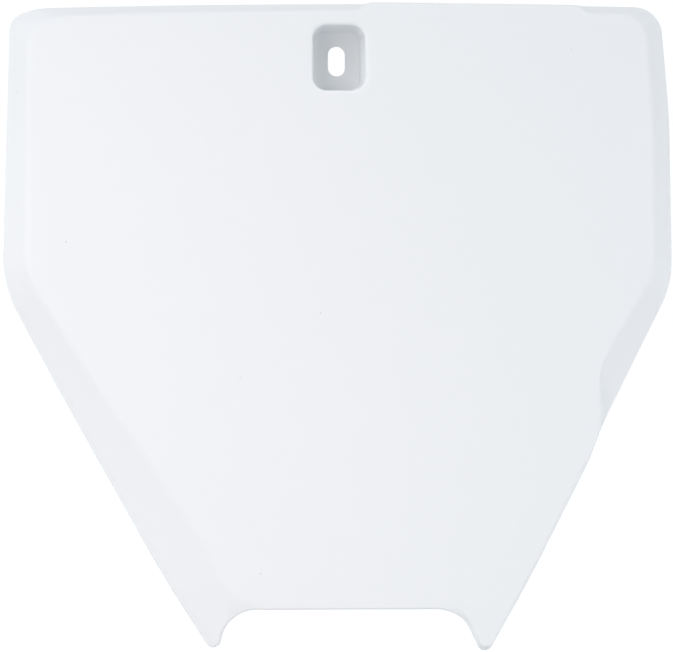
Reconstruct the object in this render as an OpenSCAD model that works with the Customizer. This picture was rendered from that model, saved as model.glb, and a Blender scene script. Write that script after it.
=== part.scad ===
// Front number board of an off-road motorcycle: one white moulding, held by one bolt through a slot in its pocket.
// X is to the right, Y to the back and Z up. The origin is the centre of the slot, on the seat behind the pocket.

/* [Outline] */
// Distance from the slot to the left side corner
left_w = 125; // [115:0.5:140]
// Distance from the slot to the right side corner
right_w = 126; // [115:0.5:140]
// Drop from the slot down to the side corners
side_z = 83; // [70:0.5:95]
// How far the left side leans in between its corner and the top
left_lean = 2.6; // [0:0.1:8]
// How far the right side leans in between its corner and the top
right_lean = 3.7; // [0:0.1:8]
// Height of the top edge over the slot, at the right end
top_z = 21.5; // [21:0.5:30]
// How far the top edge curves down to its left end
top_fall = 2; // [0:0.5:2.5]
// Drop from the slot down to the arch
arch_z = 204.6; // [185:0.2:225]
// Distance from the slot to the left corner of the arch
arch_left = 41; // [34:0.5:46]
// Distance from the slot to the right corner of the arch
arch_right = 44.5; // [36:0.5:50]
// Length of the prongs below the arch, to their sharp tips
prong_l = 18; // [14:0.5:22]
// How far the left tip stands outside its corner of the arch
left_tip_out = 4.7; // [3:0.1:8]
// How far the right tip stands outside its corner of the arch
right_tip_out = 9.7; // [7:0.1:12]
// How far the right tip reaches below the left one
right_tip_drop = 0.8; // [0:0.1:1.2]
// Swell of the left diagonal edge beyond a straight line
left_swell = 2.2; // [0:0.1:2.8]
// Swell of the flush lower right edge beyond a straight line
right_swell = 1.8; // [0:0.1:2.4]
// Radius of the two prong tips
tip_r = 3.1; // [2.8:0.1:3.6]
// Radius of the two corners of the arch
arch_r = 14; // [8:0.5:16]

/* [Face] */
// Radius of the face from side to side, at the top
crown_r_top = 700; // [500:10:1200]
// Radius of the face from side to side, at the tips
crown_r_low = 950; // [600:10:1500]
// Radius by which the upper half leans back
lean_r = 1300; // [900:10:2500]
// Thickness of the moulding
wall = 2.4; // [2:0.1:2.6]
// Radius of the cut edge
edge_r = 0.8; // [0.4:0.1:1]

/* [Bevelled rim] */
// Distance that the rim is set back from the face
rim_drop = 6.4; // [4:0.2:8]
// Width of the bevel at the side corners
bevel_side = 8.8; // [7:0.2:11]
// Width of the bevel along the top
bevel_top = 3.9; // [2.6:0.1:4.2]
// Width of the bevel at the left prong
bevel_prong = 18; // [15:0.5:20]
// Width of the rim where the face runs out flush to it
flush_w = 0.5; // [0.3:0.1:0.8]
// Softness of the crease between the face and the bevel
crease_soft = 1.6; // [0.8:0.1:2]
// Softness of the face's edge where it is flush
flush_soft = 1.2; // [1:0.1:3]

/* [Flush tab and flush side] */
// Distance from the slot to the left end of the tab
tab_left = 9; // [4:0.5:20]
// Distance from the slot to the right end of the tab
tab_right = 91; // [60:0.5:98]
// Height of the tab over the top edge, at its left end
tab_rise = 0.4; // [0.2:0.1:1]
// Height of the tab over the top edge, at its right end
tab_rise_right = 0.2; // [0.1:0.1:1]
// Length of the slope at each end of the tab
tab_run = 4; // [3:0.5:6]
// Drop from the slot down to where the right side starts to run out flush
flush_start_z = 115; // [112:0.5:120]
// Drop from the slot down to where the right side is flush
flush_z = 138.5; // [136:0.5:144]
// Distance from the slot to where the right side is flush
flush_x = 98; // [96:0.5:100]

/* [Pocket] */
// Width of the pocket at its mouth
pocket_w = 20; // [18:0.2:24]
// Height of the pocket at its mouth
pocket_h = 24.8; // [22:0.2:26]
// Corner radius of the pocket at its mouth
pocket_r = 5.6; // [4.8:0.2:8]
// Depth of the pocket
pocket_depth = 15; // [10:0.5:20]
// Draft of the pocket's walls, in degrees
pocket_draft = 6; // [2:0.5:7]
// Width of the soft lip round the pocket's mouth
lip_w = 1.6; // [1:0.1:2]
// Depth of the soft lip, down to the edge of the pocket's wall
lip_depth = 0.6; // [0.3:0.1:1]
// Radius round the pocket's floor
floor_r = 1; // [0.4:0.1:1.4]
// Thickness of the pocket's walls
pocket_wall = 1.9; // [1.4:0.1:2]
// Thickness of the pocket's floor, at the seat
floor_t = 2.5; // [2:0.1:3.5]
// Height of the seat over the back of the floor
seat_rise = 0.4; // [0.2:0.1:0.8]
// Width of the slot for the bolt
slot_w = 6.4; // [5.2:0.1:8.4]
// Length of the slot, end to end
slot_l = 11.2; // [9:0.1:13]

/* [Back] */
// Thickness of the gussets and of the lugs' ribs
rib_t = 1.8; // [1.2:0.1:2.4]
// Length of the gussets along the back of the face
gusset_l = 9; // [5:0.5:14]
// Distance between the two holding lugs
lug_spacing = 52; // [44:1:60]
// Height of the lugs over the arch
lug_rise = 15; // [12:0.5:24]
// Width of a lug
lug_w = 14; // [10:0.5:20]
// Reach of a lug behind the board
lug_reach = 11; // [8:0.5:16]
// Thickness of a lug
lug_t = 2.4; // [1.8:0.1:3]
// Length of the lip that hooks down at a lug's end
hook_l = 6; // [4:0.5:9]

/* [Hidden] */
$fn = 64;

white = [0.95, 0.955, 0.965];
face_front = -(floor_t + pocket_depth);
foot_z = arch_z + prong_l;
lean_z = -side_z;
// Longest step of the mesh along the outline
step_l = 17;
// Segments of the pocket's corners and of the round sections
pocket_steps = 8;
section_steps = 3;
// Rows of the face between the pocket and the crease, as shares of the way
face_rows = [0.14, 0.34, 0.58, 0.82];

function unit(v) = v / norm(v);
function mix(a, b, t) = a + (b - a) * t;
function flip(list) = [for (i = [len(list) - 1:-1:0]) list[i]];

// Depth of the face at a point of the plan: a slightly conical crown, which leans back above the side corners.
function crown_r(z) = mix(crown_r_top, crown_r_low, (top_z - z) / (top_z + foot_z));
function lean(z) = z > lean_z ? (z - lean_z) ^ 2 / (2 * lean_r) : 0;
function face_y(x, z) = face_front + crown_r(z) - sqrt(crown_r(z) ^ 2 - x ^ 2) + lean(z) - lean(0);
function on_face(p, set_back = 0) = [p[0], face_y(p[0], p[1]) + set_back, p[1]];
// Direction through the wall of the face, from front to back
function through_face(p) =
    unit([face_y(p[0], p[2]) - face_y(p[0] + 1, p[2]), 1, face_y(p[0], p[2]) - face_y(p[0], p[2] + 1)]);

// A round corner as a conic: a true arc between equal setbacks, and evenly spaced points on a straight line.
function arc(a, p, b, steps) =
    let (w = sqrt((1 - unit(a - p) * unit(b - p)) / 2))
    [for (i = [0:steps]) let (t = i / steps, k = [(1 - t) ^ 2, 2 * t * (1 - t) * w, t ^ 2])
        (k[0] * a + k[1] * p + k[2] * b) / (k[0] + k[1] + k[2])];
function toward(p, q, s) = p + min(s, 0.95 * norm(q - p)) * unit(q - p);
// Setbacks of two neighbouring corners share the side between them.
function shared(s, other, side) = min(s, 0.95 * side * s / (s + other));
// Closed path through corners [point, setback, steps], with counts[k] steps on the straight after corner k
function ring(corners, counts) =
    let (n = len(corners), arcs = [for (k = [0:n - 1])
        let (c = corners[k], a = corners[(k + n - 1) % n], b = corners[(k + 1) % n])
        arc(toward(c[0], a[0], shared(c[1], a[1], norm(a[0] - c[0]))), c[0],
            toward(c[0], b[0], shared(c[1], b[1], norm(b[0] - c[0]))), c[2])])
    [for (k = [0:n - 1]) each concat(arcs[k],
        [for (i = [1:1:counts[k] - 1]) mix(arcs[k][len(arcs[k]) - 1], arcs[(k + 1) % n][0], i / counts[k])])];
// Setback of a fillet of radius r where an outline turns by an angle
function turn_setback(r, turn) = r * tan(turn / 2);

// Places along the outline. The shares say how far down its side each bend lies.
side_mid_share = 0.24;
mid_left_share = 0.32;
low_left_share = 0.79;
low_right_share = 0.13;
knee_right_share = 0.65;
// How far the outline turns round each tip and in each corner of the arch
tip_turn = 125;
arch_turn_right = 64;
arch_turn_left = 77;
side_top_left = -left_w + left_lean;
side_top_right = right_w - right_lean;
left_tip_x = -arch_left - left_tip_out;
right_tip_x = arch_right + right_tip_out;
low_right_z = mix(flush_z, foot_z, low_right_share);
knee_right_z = mix(flush_z, foot_z, knee_right_share);
mid_left_z = mix(side_z, foot_z, mid_left_share);
low_left_z = mix(side_z, foot_z, low_left_share);
run_out_z = mix(flush_start_z, flush_z, 0.5);
side_mid_z = side_mid_share * side_z;
top_mid_x = mix(side_top_left, tab_left, 0.5);
function top_at(x) = top_z - top_fall * ((side_top_right - x) / (side_top_right - side_top_left)) ^ 2;
function right_at(z) = z < flush_z ? mix(right_w, flush_x, (z - side_z) / (flush_z - side_z))
    : mix(flush_x, right_tip_x, (z - flush_z) / (foot_z - flush_z));
function left_at(z) = mix(-left_w, left_tip_x, (z - side_z) / (foot_z - side_z));

// The step below the crease: its softness, then its width and depth as shares of the bevel
plain = [crease_soft, 0.3, 0.3];
flush = [0.8, 0.7, 0.7];
soft = [flush_soft, 0.7, 0.7];
tab_end = [0.3, 0.12, 0.6];
run_out_start = [0.6, 0.06, 0.1];
run_out = [0.3, 0.08, 0.55];
run_out_end = [0.6, 0.7, 0.9];
// Height of the arch's edge on the face over its rim, and by how much its left part hangs lower
arch_step = 2.6;
arch_droop = 0.3;
// The outline's corners, clockwise from the top left as seen from the front. Each row has the corner of the rim
// [x, z, set back] and the length that its rounding takes of each side, then the corner of the crease [x, z, step]
// and that of its rounding, then the steps of both roundings.
tip_setback = turn_setback(tip_r, tip_turn);
rows = [
    [[side_top_left, top_at(side_top_left) - 4.9, rim_drop], 4,
        [side_top_left + 7, top_at(side_top_left) - bevel_top - 6.4, each plain], 7, 3],
    [[side_top_left + 7.2, top_at(side_top_left + 7.2), rim_drop], 8,
        [side_top_left + 15, top_at(side_top_left) - bevel_top - 0.1, each plain], 9, 4],
    [[top_mid_x, top_at(top_mid_x), rim_drop], 20,
        [top_mid_x, top_at(top_mid_x) - bevel_top + 0.2, each plain], 20, 2],
    [[tab_left + 1.5, top_at(tab_left), rim_drop], 1,
        [tab_left - tab_run / 2, top_at(tab_left) - bevel_top + 0.5, each plain], 1.5, 2],
    [[tab_left + 3.5, top_at(tab_left) + tab_rise, rim_drop], 1,
        [tab_left + tab_run / 2 + 0.5, top_at(tab_left) + tab_rise - 2 * flush_w, each flush], 1.5, 2],
    [[tab_right - 2.5, top_at(tab_right) + tab_rise_right, rim_drop], 0.6,
        [tab_right - 2, top_at(tab_right) + tab_rise_right - 2 * flush_w, each flush], 0.6, 1],
    [[tab_right, top_at(tab_right), rim_drop], 0.6,
        [tab_right + 0.2, top_at(tab_right) - 1.6, each tab_end], 0.5, 1],
    [[tab_right + 3, top_at(tab_right), rim_drop], 0.8,
        [tab_right + 2.6, top_at(tab_right) - bevel_top + 0.4, each plain], 1, 1],
    [[side_top_right, top_z, rim_drop], 10,
        [side_top_right - 7, top_z - bevel_top, each plain], 9, 6],
    [[right_w - 0.6, -side_mid_z, rim_drop], 8,
        [right_w - bevel_side + 0.6, -side_mid_z, each plain], 8, 2],
    [[right_w, -side_z, rim_drop], 9,
        [right_w - bevel_side + 0.8, -side_z + 3.2, each plain], 6, 5],
    [[right_at(flush_start_z + 4), -flush_start_z - 4, rim_drop], 5,
        [flush_x - 0.8, -flush_start_z, each run_out_start], 6, 4],
    [[right_at(run_out_z + 2), -run_out_z - 2, rim_drop], 2,
        [flush_x - 0.6, -run_out_z, each run_out], 2, 1],
    [[flush_x, -flush_z, rim_drop], 2,
        [flush_x - flush_w, -flush_z, each run_out_end], 2, 2],
    [[right_at(low_right_z) + 0.8 * right_swell, -low_right_z, rim_drop], 4,
        [right_at(low_right_z) + 0.8 * right_swell - flush_w, -low_right_z, each soft], 4, 2],
    [[right_at(knee_right_z) + right_swell, -knee_right_z, rim_drop], 8,
        [right_at(knee_right_z) + right_swell - flush_w, -knee_right_z, each soft], 8, 2],
    [[right_tip_x, -foot_z - right_tip_drop, rim_drop], tip_setback,
        [right_tip_x, -foot_z - right_tip_drop + 2 * flush_w, each flush], tip_setback, 7],
    [[arch_right, -arch_z, 0], turn_setback(arch_r, arch_turn_right),
        [arch_right + 1, -arch_z + arch_step, each flush], turn_setback(arch_r, arch_turn_right), 6],
    [[-arch_left + 13.5, -arch_z - arch_droop, 0], 1,
        [-arch_left + 14, -arch_z - arch_droop + arch_step, each flush], 1, 1],
    [[-arch_left, -arch_z - arch_droop, 0.2 * rim_drop], turn_setback(arch_r, arch_turn_left),
        [-arch_left + 4, -arch_z - arch_droop + arch_step, each flush], 5, 6],
    [[left_tip_x, -foot_z, rim_drop], tip_setback,
        [-arch_left - 1.5, -arch_z + 10.5, each plain], 3, 7],
    [[left_at(low_left_z) - left_swell, -low_left_z, rim_drop], 12,
        [left_at(low_left_z) + 0.75 * bevel_prong, -low_left_z + 0.65 * bevel_prong, each plain], 8, 3],
    [[left_at(mid_left_z) - 0.85 * left_swell, -mid_left_z, rim_drop], 8,
        [left_at(mid_left_z) + 9.7, -mid_left_z + 7, each plain], 8, 2],
    [[-left_w + 0.2, -side_z - 1.2, rim_drop], 12,
        [-left_w + bevel_side + 0.6, -side_z + 2.2, each plain], 8, 5],
];
counts = [for (k = [0:len(rows) - 1]) let (a = rows[k], b = rows[(k + 1) % len(rows)])
    max(1, ceil((norm(a[0] - b[0]) - a[1] - b[1]) / step_l))];
rim_path = ring([for (r = rows) [r[0], r[1], r[4]]], counts);
crease_path = ring([for (r = rows) [r[2], r[3], r[4]]], counts);
n = len(rim_path);
rim = [for (p = rim_path) on_face(p, p[2])];
crease = [for (p = crease_path) on_face(p)];

// Direction through the wall at the rim, from front to back, and the foot of the step below the crease
function along(list, i) = unit(list[(i + 1) % n] - list[(i + n - 1) % n]);
through = [for (i = [0:n - 1]) unit(cross(along(rim, i) + along(crease, i), crease[i] - rim[i]))];
foot = [for (i = [0:n - 1]) let (p = crease_path[i])
    [mix(crease[i][0], rim[i][0], p[3]), mix(crease[i][1], rim[i][1], p[4]), mix(crease[i][2], rim[i][2], p[3])]];
// The crease's point moved inwards over the face
function inner(i, s) = let (t = crease[(i + 1) % n] - crease[(i + n - 1) % n], k = s / norm([t[0], t[2]]))
    on_face([crease[i][0] + k * t[2], crease[i][2] - k * t[0]]);
crease_section = [for (i = [0:n - 1])
    arc(inner(i, crease_path[i][2]), crease[i], toward(crease[i], foot[i], crease_path[i][2]), section_steps)];
edge_section = [for (i = [0:n - 1])
    let (inward = unit(cross(through[i], along(rim, i))), r = min(edge_r, 0.8 * (foot[i] - rim[i]) * inward))
    arc(rim[i] + r * inward, rim[i], rim[i] + edge_r * through[i], 2)];
rim_back = [for (i = [0:n - 1]) rim[i] + wall * through[i]];
crease_back = [for (i = [0:n - 1]) let (a = through_face(crease[i]), b = through[i])
    crease[i] + wall * (a + b) / (1 + a * b)];

// The pocket: rounded rectangles, grown or shrunk from the mouth. The first point is at the left.
function mouth_ring(grow) =
    let (w = pocket_w / 2 + grow, h = pocket_h / 2 + grow, r = pocket_r + grow,
        centres = [[r - w, h - r], [w - r, h - r], [w - r, r - h], [r - w, r - h]])
    concat([[-w, 0]], [for (k = [0:3], i = [0:pocket_steps]) let (q = 180 - 90 * k - 90 * i / pocket_steps)
        centres[k] + r * [cos(q), sin(q)]]);
function drafted(depth) = -depth * tan(pocket_draft);
// Round section between a drafted wall and the surface at a depth, as [grow, depth] pairs that end on the wall.
// side is 1 where the surface runs outwards and the wall goes on behind it, and -1 where both turn back.
function wall_arc(depth, side, r, off) =
    let (s = r * tan((90 - pocket_draft) / 2), up = depth + side * s * cos(pocket_draft))
    arc([drafted(depth) + off + side * s, depth], [drafted(depth) + off, depth], [drafted(up) + off, up], section_steps);
// A ring of the pocket, which follows the face at one depth and is flat at the other
function pocket_ring(s, curved, flat) = [for (p = mouth_ring(s[0]))
    let (share = min(1, max(0, (s[1] - curved) / (flat - curved))))
    [p[0], mix(face_y(p[0], p[1]), face_front, share) + s[1], p[1]]];
tub_depth = pocket_depth + floor_t - seat_rise;
tub_r = floor_r + 0.5 * pocket_wall;
tub_foot = 0.8;
// The lip is level with the face for this share of its width, before it turns down.
lip_level = 0.65;
mouth_arc = arc([lip_w, 0], [(1 - lip_level) * lip_w, 0], [drafted(lip_depth), lip_depth], section_steps);
foot_arc = wall_arc(wall, 1, tub_foot, pocket_wall);
pocket_rings = [for (s = concat(wall_arc(pocket_depth, -1, floor_r, 0), flip(mouth_arc)))
    pocket_ring(s, 0, pocket_depth)];
tub_rings = [for (s = concat(foot_arc, flip(wall_arc(tub_depth, -1, tub_r, pocket_wall))))
    pocket_ring(s, wall, tub_depth)];

// Rows of the face between the pocket and an edge, on rays from the pocket's centre
function pocket_side(p, grow) =
    let (k = min((pocket_w / 2 + grow) / max(0.01, abs(p[0])), (pocket_h / 2 + grow) / max(0.01, abs(p[2]))))
    [p[0] * k, p[2] * k];
function face_row(edge, grow, share, set_back) =
    [for (p = edge) on_face(mix(pocket_side(p, grow), [p[0], p[2]], share), set_back)];
face_edge = [for (s = crease_section) s[0]];
panel_rings = concat(
    [for (share = face_rows) face_row(face_edge, mouth_arc[0][0], share, 0)],
    [for (k = [0:section_steps]) [for (s = crease_section) s[k]]],
    [foot],
    [for (k = [0:2]) [for (s = edge_section) s[k]]],
    [rim_back, crease_back],
    [for (share = flip(face_rows)) face_row(crease_back, foot_arc[0][0], share, wall)]);

// Faces: bands between rings of equal length, a stitch between rings of unequal length, and two caps
function band(a, b, len_ring) = [for (i = [0:len_ring - 1]) let (j = (i + 1) % len_ring)
    each [[b + i, b + j, a + j], [b + i, a + j, a + i]]];
function bearing(p) = (540 - atan2(p[2], p[0])) % 360;
function next_bearing(list, i) =
    i >= len(list) ? 1000 : i == len(list) - 1 ? list[0] + 360 : list[i + 1];
function stitch(a, b, near, far, i = 0, j = 0) =
    i == len(near) && j == len(far) ? [] :
    next_bearing(far, j) <= next_bearing(near, i)
        ? concat([[b + j, b + (j + 1) % len(far), a + i % len(near)]], stitch(a, b, near, far, i, j + 1))
        : concat([[b + j % len(far), a + (i + 1) % len(near), a + i]], stitch(a, b, near, far, i + 1, j));
function bearings(points) = [for (p = points) bearing(p)];

module skin() {
    m = len(pocket_rings[0]);
    rings = concat(pocket_rings, panel_rings, tub_rings);
    panel_at = len(pocket_rings) * m;
    tub_at = panel_at + len(panel_rings) * n;
    points = [for (r = rings) each r];
    last_panel = tub_at - n;
    last_tub = len(points) - m;
    faces = concat(
        [[for (i = [0:m - 1]) i]],
        [for (k = [0:len(pocket_rings) - 2]) each band(k * m, (k + 1) * m, m)],
        stitch(panel_at - m, panel_at, bearings(pocket_rings[len(pocket_rings) - 1]), bearings(panel_rings[0])),
        [for (k = [0:len(panel_rings) - 2]) each band(panel_at + k * n, panel_at + (k + 1) * n, n)],
        stitch(last_panel, tub_at, bearings(panel_rings[len(panel_rings) - 1]), bearings(tub_rings[0])),
        [for (k = [0:len(tub_rings) - 2]) each band(tub_at + k * m, tub_at + (k + 1) * m, m)],
        [[for (i = [m:-1:1]) last_tub + i % m]]);
    polyhedron(points, faces, convexity = 8);
}

module rounded_plate(w, h, r, t) {
    rotate([90, 0, 0]) linear_extrude(t) {
        square([w - 2 * r, h], center = true);
        square([w, h - 2 * r], center = true);
        for (x = [-1, 1], y = [-1, 1]) translate([x * (w / 2 - r), y * (h / 2 - r)]) circle(r);
    }
}

// Flat seat round the slot, on the back of the pocket's floor
module seat() {
    shrink = 2 * (drafted(tub_depth) + pocket_wall - tub_r - 0.2);
    rounded_plate(pocket_w + shrink, pocket_h + shrink, pocket_r - tub_r, seat_rise + wall / 2);
}

module slot() {
    translate([0, 1, 0]) rotate([90, 0, 0]) linear_extrude(floor_t + 2) {
        for (side = [-1, 1]) translate([0, side * (slot_l - slot_w) / 2]) circle(slot_w / 2);
        square([slot_w, slot_l - slot_w], center = true);
    }
}

// Profile in the plane of Y and Z, as thick as t along X
module side_profile(points, t) {
    rotate([90, 0, 90]) linear_extrude(t, center = true) polygon(points);
}

// Gusset between the pocket's wall and the back of the face: half is the pocket's half size on that side,
// and back is where the back of the face lies at the gusset's far end.
module gusset(half, back) {
    root = 0.5 * wall;
    grip = 0.5 * pocket_wall;
    top = 0.7 * tub_depth;
    side_profile([
        [back - root, -half - drafted(wall) - pocket_wall - gusset_l],
        [face_front + top, -half - drafted(top) - pocket_wall + grip],
        [back - root, -half - drafted(wall) - pocket_wall + grip],
        ], rib_t);
}

module gussets() {
    low = -(pocket_h / 2 + pocket_wall + gusset_l);
    out = pocket_w / 2 + pocket_wall + gusset_l;
    for (x = [-1, 1] * pocket_w / 4) translate([x, 0, 0]) gusset(pocket_h / 2, face_y(x, low) + wall);
    for (side = [-1, 1]) rotate([0, -90 * side, 0]) gusset(pocket_w / 2, face_y(out, 0) + wall);
}

// Lug that hooks down behind the board, with a rib at each side
module lug(x) {
    z = -arch_z + lug_rise;
    back = face_y(x, z) + wall;
    root = back - 0.5 * wall;
    end = back + lug_reach;
    translate([x, 0, 0]) {
        side_profile([
            [root, z - lug_t / 2], [end - lug_t, z - lug_t / 2], [end - lug_t, z - lug_t / 2 - hook_l],
            [end - 0.4 * lug_t, z - lug_t / 2 - hook_l], [end, z - hook_l], [end, z], [end - lug_t / 2, z + lug_t / 2],
            [root, z + lug_t / 2],
            ], lug_w);
        for (side = [-1, 1]) translate([side * (lug_w - rib_t) / 2, 0, 0])
            side_profile([[root, z], [end - lug_t, z], [root, z + 0.7 * lug_reach]], rib_t);
    }
}

module number_board() {
    color(white) difference() {
        union() {
            skin();
            seat();
            gussets();
            for (side = [-1, 1]) lug(side * lug_spacing / 2);
        }
        slot();
    }
}

number_board();
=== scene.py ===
# %% [markdown]
# # A racing number board, built cell by cell
#
# The real object is one injection moulding of white polypropylene, about 250 mm wide. It has a gently
# crowned face for a number, a bevelled rim that turns back all round it, and a deep pocket with a slot for
# one bolt. A flush tab on the top edge and a flush lower right edge break the bevel. The arch below lets
# hoses pass.
#
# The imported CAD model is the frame. Lengths are written in millimetres and turn into metres when a mesh is
# made. Only the lamps and the camera are placed in metres.

# %% Load the frame
import math
from collections import namedtuple

import bpy
import bmesh
import numpy as np
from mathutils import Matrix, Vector


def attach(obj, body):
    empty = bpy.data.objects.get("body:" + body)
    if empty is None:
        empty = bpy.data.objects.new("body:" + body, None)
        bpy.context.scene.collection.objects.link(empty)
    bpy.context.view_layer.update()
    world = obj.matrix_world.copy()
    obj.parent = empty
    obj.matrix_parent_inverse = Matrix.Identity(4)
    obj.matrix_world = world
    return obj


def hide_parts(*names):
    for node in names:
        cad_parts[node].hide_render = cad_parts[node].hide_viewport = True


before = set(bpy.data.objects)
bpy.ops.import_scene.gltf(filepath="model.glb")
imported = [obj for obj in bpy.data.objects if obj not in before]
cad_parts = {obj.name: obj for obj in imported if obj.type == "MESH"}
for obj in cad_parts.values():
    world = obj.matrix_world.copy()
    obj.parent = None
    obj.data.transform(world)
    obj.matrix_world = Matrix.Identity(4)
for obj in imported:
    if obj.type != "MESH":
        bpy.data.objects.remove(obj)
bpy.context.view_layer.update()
scene = bpy.context.scene
scene.view_settings.view_transform = "Standard"
MM = 0.001

# %% [markdown]
# ## The face as a formula
#
# The face isn't flat. It is a slightly conical crown: the radius from side to side grows from the top to
# the tips, and above the side corners the board leans back on a long arc. A designer would sweep two curves
# in CAD. A short formula for the depth does the same job, because every ring of points can then be laid on
# the face exactly. It is the formula of the CAD source, so this finer mesh and the solid lie in one place.

# %% Depth of the face
# Heights count from the slot's centre, upwards to the top edge and downwards to all the others.
WALL = 2.4
FLOOR_T = 2.5
POCKET_DEPTH = 15.0
FACE_FRONT = -(FLOOR_T + POCKET_DEPTH)
TOP_Z = 21.5
SIDE_Z = 83.0
ARCH_Z = 204.6
PRONG_L = 18.0
FOOT_Z = ARCH_Z + PRONG_L
CROWN_TOP, CROWN_LOW, LEAN_R = 700.0, 950.0, 1300.0


def mix(a, b, t):
    return a + (b - a) * t


def crown_radius(z):
    return mix(CROWN_TOP, CROWN_LOW, (TOP_Z - z) / (TOP_Z + FOOT_Z))


def lean(z):
    return np.maximum(0.0, z + SIDE_Z) ** 2 / (2 * LEAN_R)


def face_depth(x, z):
    r = crown_radius(z)
    return FACE_FRONT + r - np.sqrt(r * r - x * x) + lean(z) - lean(0.0)


def on_face(plan, set_back=0.0):
    """Points of the plan, in x and z, laid on the face or behind it."""
    return np.column_stack([plan[:, 0], face_depth(plan[:, 0], plan[:, 1]) + set_back, plan[:, 1]])


def unit(vectors):
    return vectors / np.linalg.norm(vectors, axis=-1, keepdims=True)


def through_face(points):
    """Direction through the wall at some points, from front to back, by the slope of the face over 1 mm."""
    x, z = points[:, 0], points[:, 2]
    here = face_depth(x, z)
    across, up = here - face_depth(x + 1, z), here - face_depth(x, z + 1)
    return unit(np.column_stack([across, np.ones(len(x)), up]))


crown = face_depth(125.0, -SIDE_Z) - face_depth(0.0, -SIDE_Z)
print("fall of the face from its middle to a side corner, mm:", round(crown, 1))

# %% [markdown]
# ## Round corners as conics
#
# The outline is a chain of straight sides with round corners, each of its own softness. A conic through the
# two ends of a corner gives a true arc when both setbacks are equal, and a smooth, slightly pulled curve
# when they are not. Points are laid along it by one function, and a second one joins the corners into a
# closed path. The rim and the crease inside it are two such paths with the same number of points, so the
# bevel between them is a clean lattice.

# %% Arcs and closed paths
MOST_OF_SIDE = 0.95


def arc(a, p, b, steps):
    """Rows of points from a to b, round the corner p. Each may be one point or an array of them."""
    cosine = np.sum(unit(a - p) * unit(b - p), axis=-1, keepdims=True)
    w = np.sqrt(np.maximum(0.0, (1 - cosine) / 2))
    rows = []
    for t in np.linspace(0, 1, steps + 1):
        ka, kp, kb = (1 - t) ** 2, 2 * t * (1 - t) * w, t * t
        rows.append((ka * a + kp * p + kb * b) / (ka + kp + kb))
    return rows


def toward(p, q, distance):
    length = np.linalg.norm(q - p, axis=-1, keepdims=True)
    return p + (q - p) / length * np.minimum(distance, MOST_OF_SIDE * length)


def shared(own, other, side):
    """Setbacks of two neighbouring corners share the side between them."""
    return min(own, MOST_OF_SIDE * side * own / (own + other))


def closed_path(points, setbacks, arc_steps, side_steps):
    """A path round some corner points, with a round at each that takes its setback of both sides."""
    count = len(points)
    arcs = []
    for k, corner in enumerate(points):
        last, following = (k - 1) % count, (k + 1) % count
        in_side = np.linalg.norm(points[last] - corner)
        out_side = np.linalg.norm(points[following] - corner)
        start = toward(corner, points[last], shared(setbacks[k], setbacks[last], in_side))
        end = toward(corner, points[following], shared(setbacks[k], setbacks[following], out_side))
        arcs.append(arc(start, corner, end, arc_steps[k]))
    path = []
    for k in range(count):
        path += arcs[k]
        a, b = arcs[k][-1], arcs[(k + 1) % count][0]
        path += [mix(a, b, i / side_steps[k]) for i in range(1, side_steps[k])]
    return np.array(path)


def turn_setback(radius, turn):
    """Setback of a fillet where an outline turns by an angle in degrees."""
    return radius * math.tan(math.radians(turn) / 2)


quarter = arc(np.array([1.0, 0.0]), np.array([1.0, 1.0]), np.array([0.0, 1.0]), 8)
strays = max(abs(np.linalg.norm(p) - 1) for p in quarter)
print("a conic quarter strays from a true arc by", round(strays, 6))

# %% [markdown]
# ## The outline
#
# The board is drawn as a designer would dimension it: the widths and heights first, then what makes its two
# sides differ, then the bevel, the tab and the flush edge. The places of the softer bends between the
# corners are shares of the side that they lie on, so they follow when a width or a height changes.

# %% Named sizes of the outline
# The side corners, how far the sides lean in above them, and the fall of the top edge to the left
LEFT_W, RIGHT_W = 125.0, 126.0
LEFT_LEAN, RIGHT_LEAN, TOP_FALL = 2.6, 3.7, 2.0
# The arch, the tips beside it, and the swell of the long lower sides
ARCH_LEFT, ARCH_RIGHT = 41.0, 44.5
LEFT_TIP_OUT, RIGHT_TIP_OUT, RIGHT_TIP_DROP = 4.7, 9.7, 0.8
LEFT_SWELL, RIGHT_SWELL = 2.2, 1.8
TIP_R, ARCH_R = 3.1, 14.0
TIP_TURN, ARCH_TURN_RIGHT, ARCH_TURN_LEFT = 125, 64, 77
# Height of the arch's edge on the face over its rim, and by how much its left part hangs lower
ARCH_STEP, ARCH_DROOP = 2.6, 0.3
# The bevel: how far it turns back, its widths, that of the flush rim, and the softness of both edges
RIM_DROP = 6.4
BEVEL_SIDE, BEVEL_TOP, BEVEL_PRONG = 8.8, 3.9, 18.0
FLUSH_W = 0.5
CREASE_SOFT, FLUSH_SOFT = 1.6, 1.2
# The tab on the top edge, and where the right side runs out flush
TAB_LEFT, TAB_RIGHT, TAB_RUN = 9.0, 91.0, 4.0
TAB_RISE, TAB_RISE_RIGHT = 0.4, 0.2
FLUSH_START_Z, FLUSH_Z, FLUSH_X = 115.0, 138.5, 98.0
print("width over the side corners, mm:", LEFT_W + RIGHT_W)

# %% Places along the outline
side_top_left = LEFT_LEAN - LEFT_W
side_top_right = RIGHT_W - RIGHT_LEAN
left_tip_x = -ARCH_LEFT - LEFT_TIP_OUT
right_tip_x = ARCH_RIGHT + RIGHT_TIP_OUT
low_right_z = mix(FLUSH_Z, FOOT_Z, 0.13)
knee_right_z = mix(FLUSH_Z, FOOT_Z, 0.65)
mid_left_z = mix(SIDE_Z, FOOT_Z, 0.32)
low_left_z = mix(SIDE_Z, FOOT_Z, 0.79)
run_out_z = mix(FLUSH_START_Z, FLUSH_Z, 0.5)
side_mid_z = mix(0.0, SIDE_Z, 0.24)
top_mid_x = mix(side_top_left, TAB_LEFT, 0.5)


def top_at(x):
    return TOP_Z - TOP_FALL * ((side_top_right - x) / (side_top_right - side_top_left)) ** 2


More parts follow.
